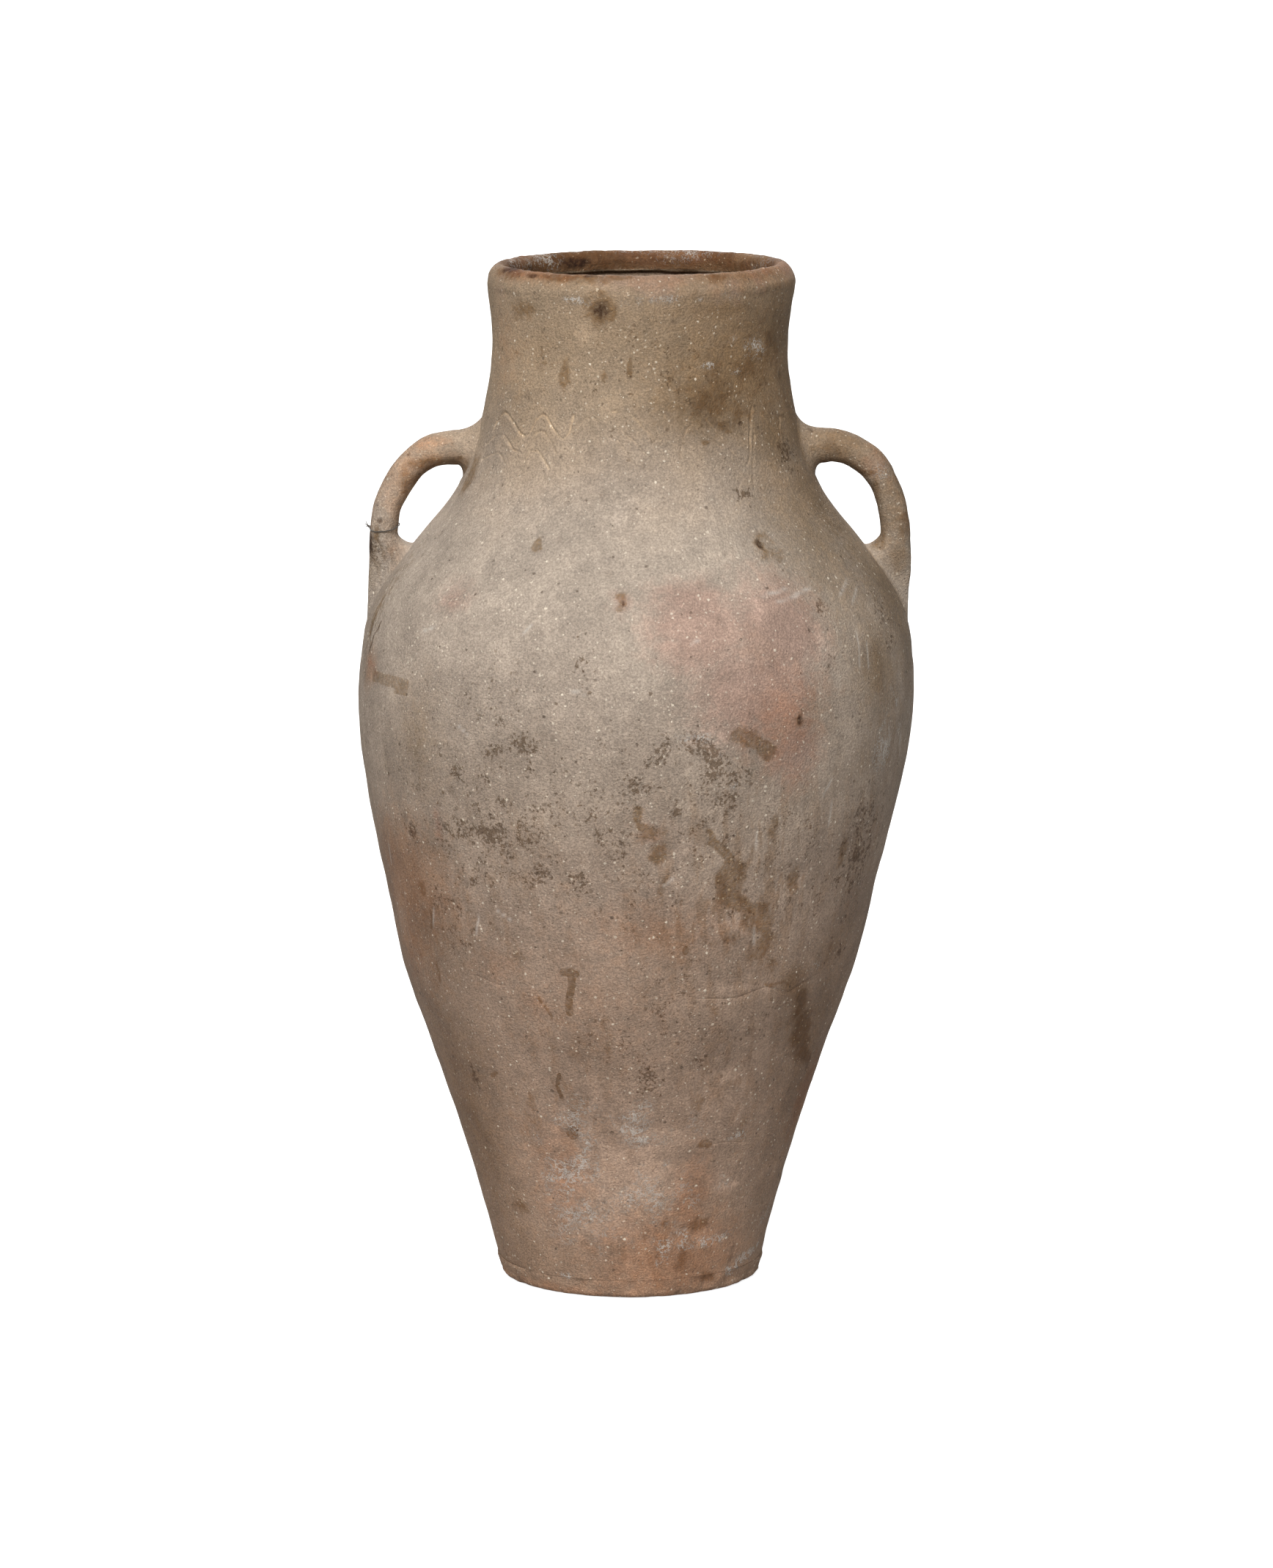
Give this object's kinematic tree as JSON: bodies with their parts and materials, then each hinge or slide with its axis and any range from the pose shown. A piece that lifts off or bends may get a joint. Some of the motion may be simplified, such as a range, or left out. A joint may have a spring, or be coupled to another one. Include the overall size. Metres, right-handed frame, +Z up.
{
  "type": "amphora",
  "caption": "Two-handled fired clay storage jar with a flat foot, a rolled rim, strap handles from neck to shoulder and an incised zigzag band.",
  "frame": {"origin": "centre of the foot's flat underside, on the floor", "axes": "+Z up along the jar's turning axis; +X towards the right handle; -Y towards the front"},
  "size_m": [0.4122, 0.4122, 0.76],
  "materials": {
    "foot_clay": "unglazed, rough, worn and stained",
    "body_clay": "unglazed, weathered, brushed and speckled",
    "rim_clay": "unglazed, worn, lime-crusted",
    "handle_clay": "unglazed, hand-worn",
    "inside_clay": "unglazed, rough",
    "tie_thread": "dark twisted string"
  },
  "bodies": {
    "root": {"base_slab": "foot_clay", "foot_wall": "foot_clay", "lower_wall": "body_clay", "belly_wall": "body_clay", "shoulder_wall": "body_clay", "neck_collar": "body_clay", "rim_lip": "rim_clay", "left_handle": "handle_clay", "right_handle": "handle_clay", "left_upper_wad": "handle_clay", "left_lower_wad": "handle_clay", "right_upper_wad": "handle_clay", "right_lower_wad": "handle_clay", "base_coil": "inside_clay", "foot_coil": "inside_clay", "waist_coil": "inside_clay", "belly_coil": "inside_clay", "neck_coil": "inside_clay", "handle_tie_thread": "tie_thread"}
  },
  "joints": []
}
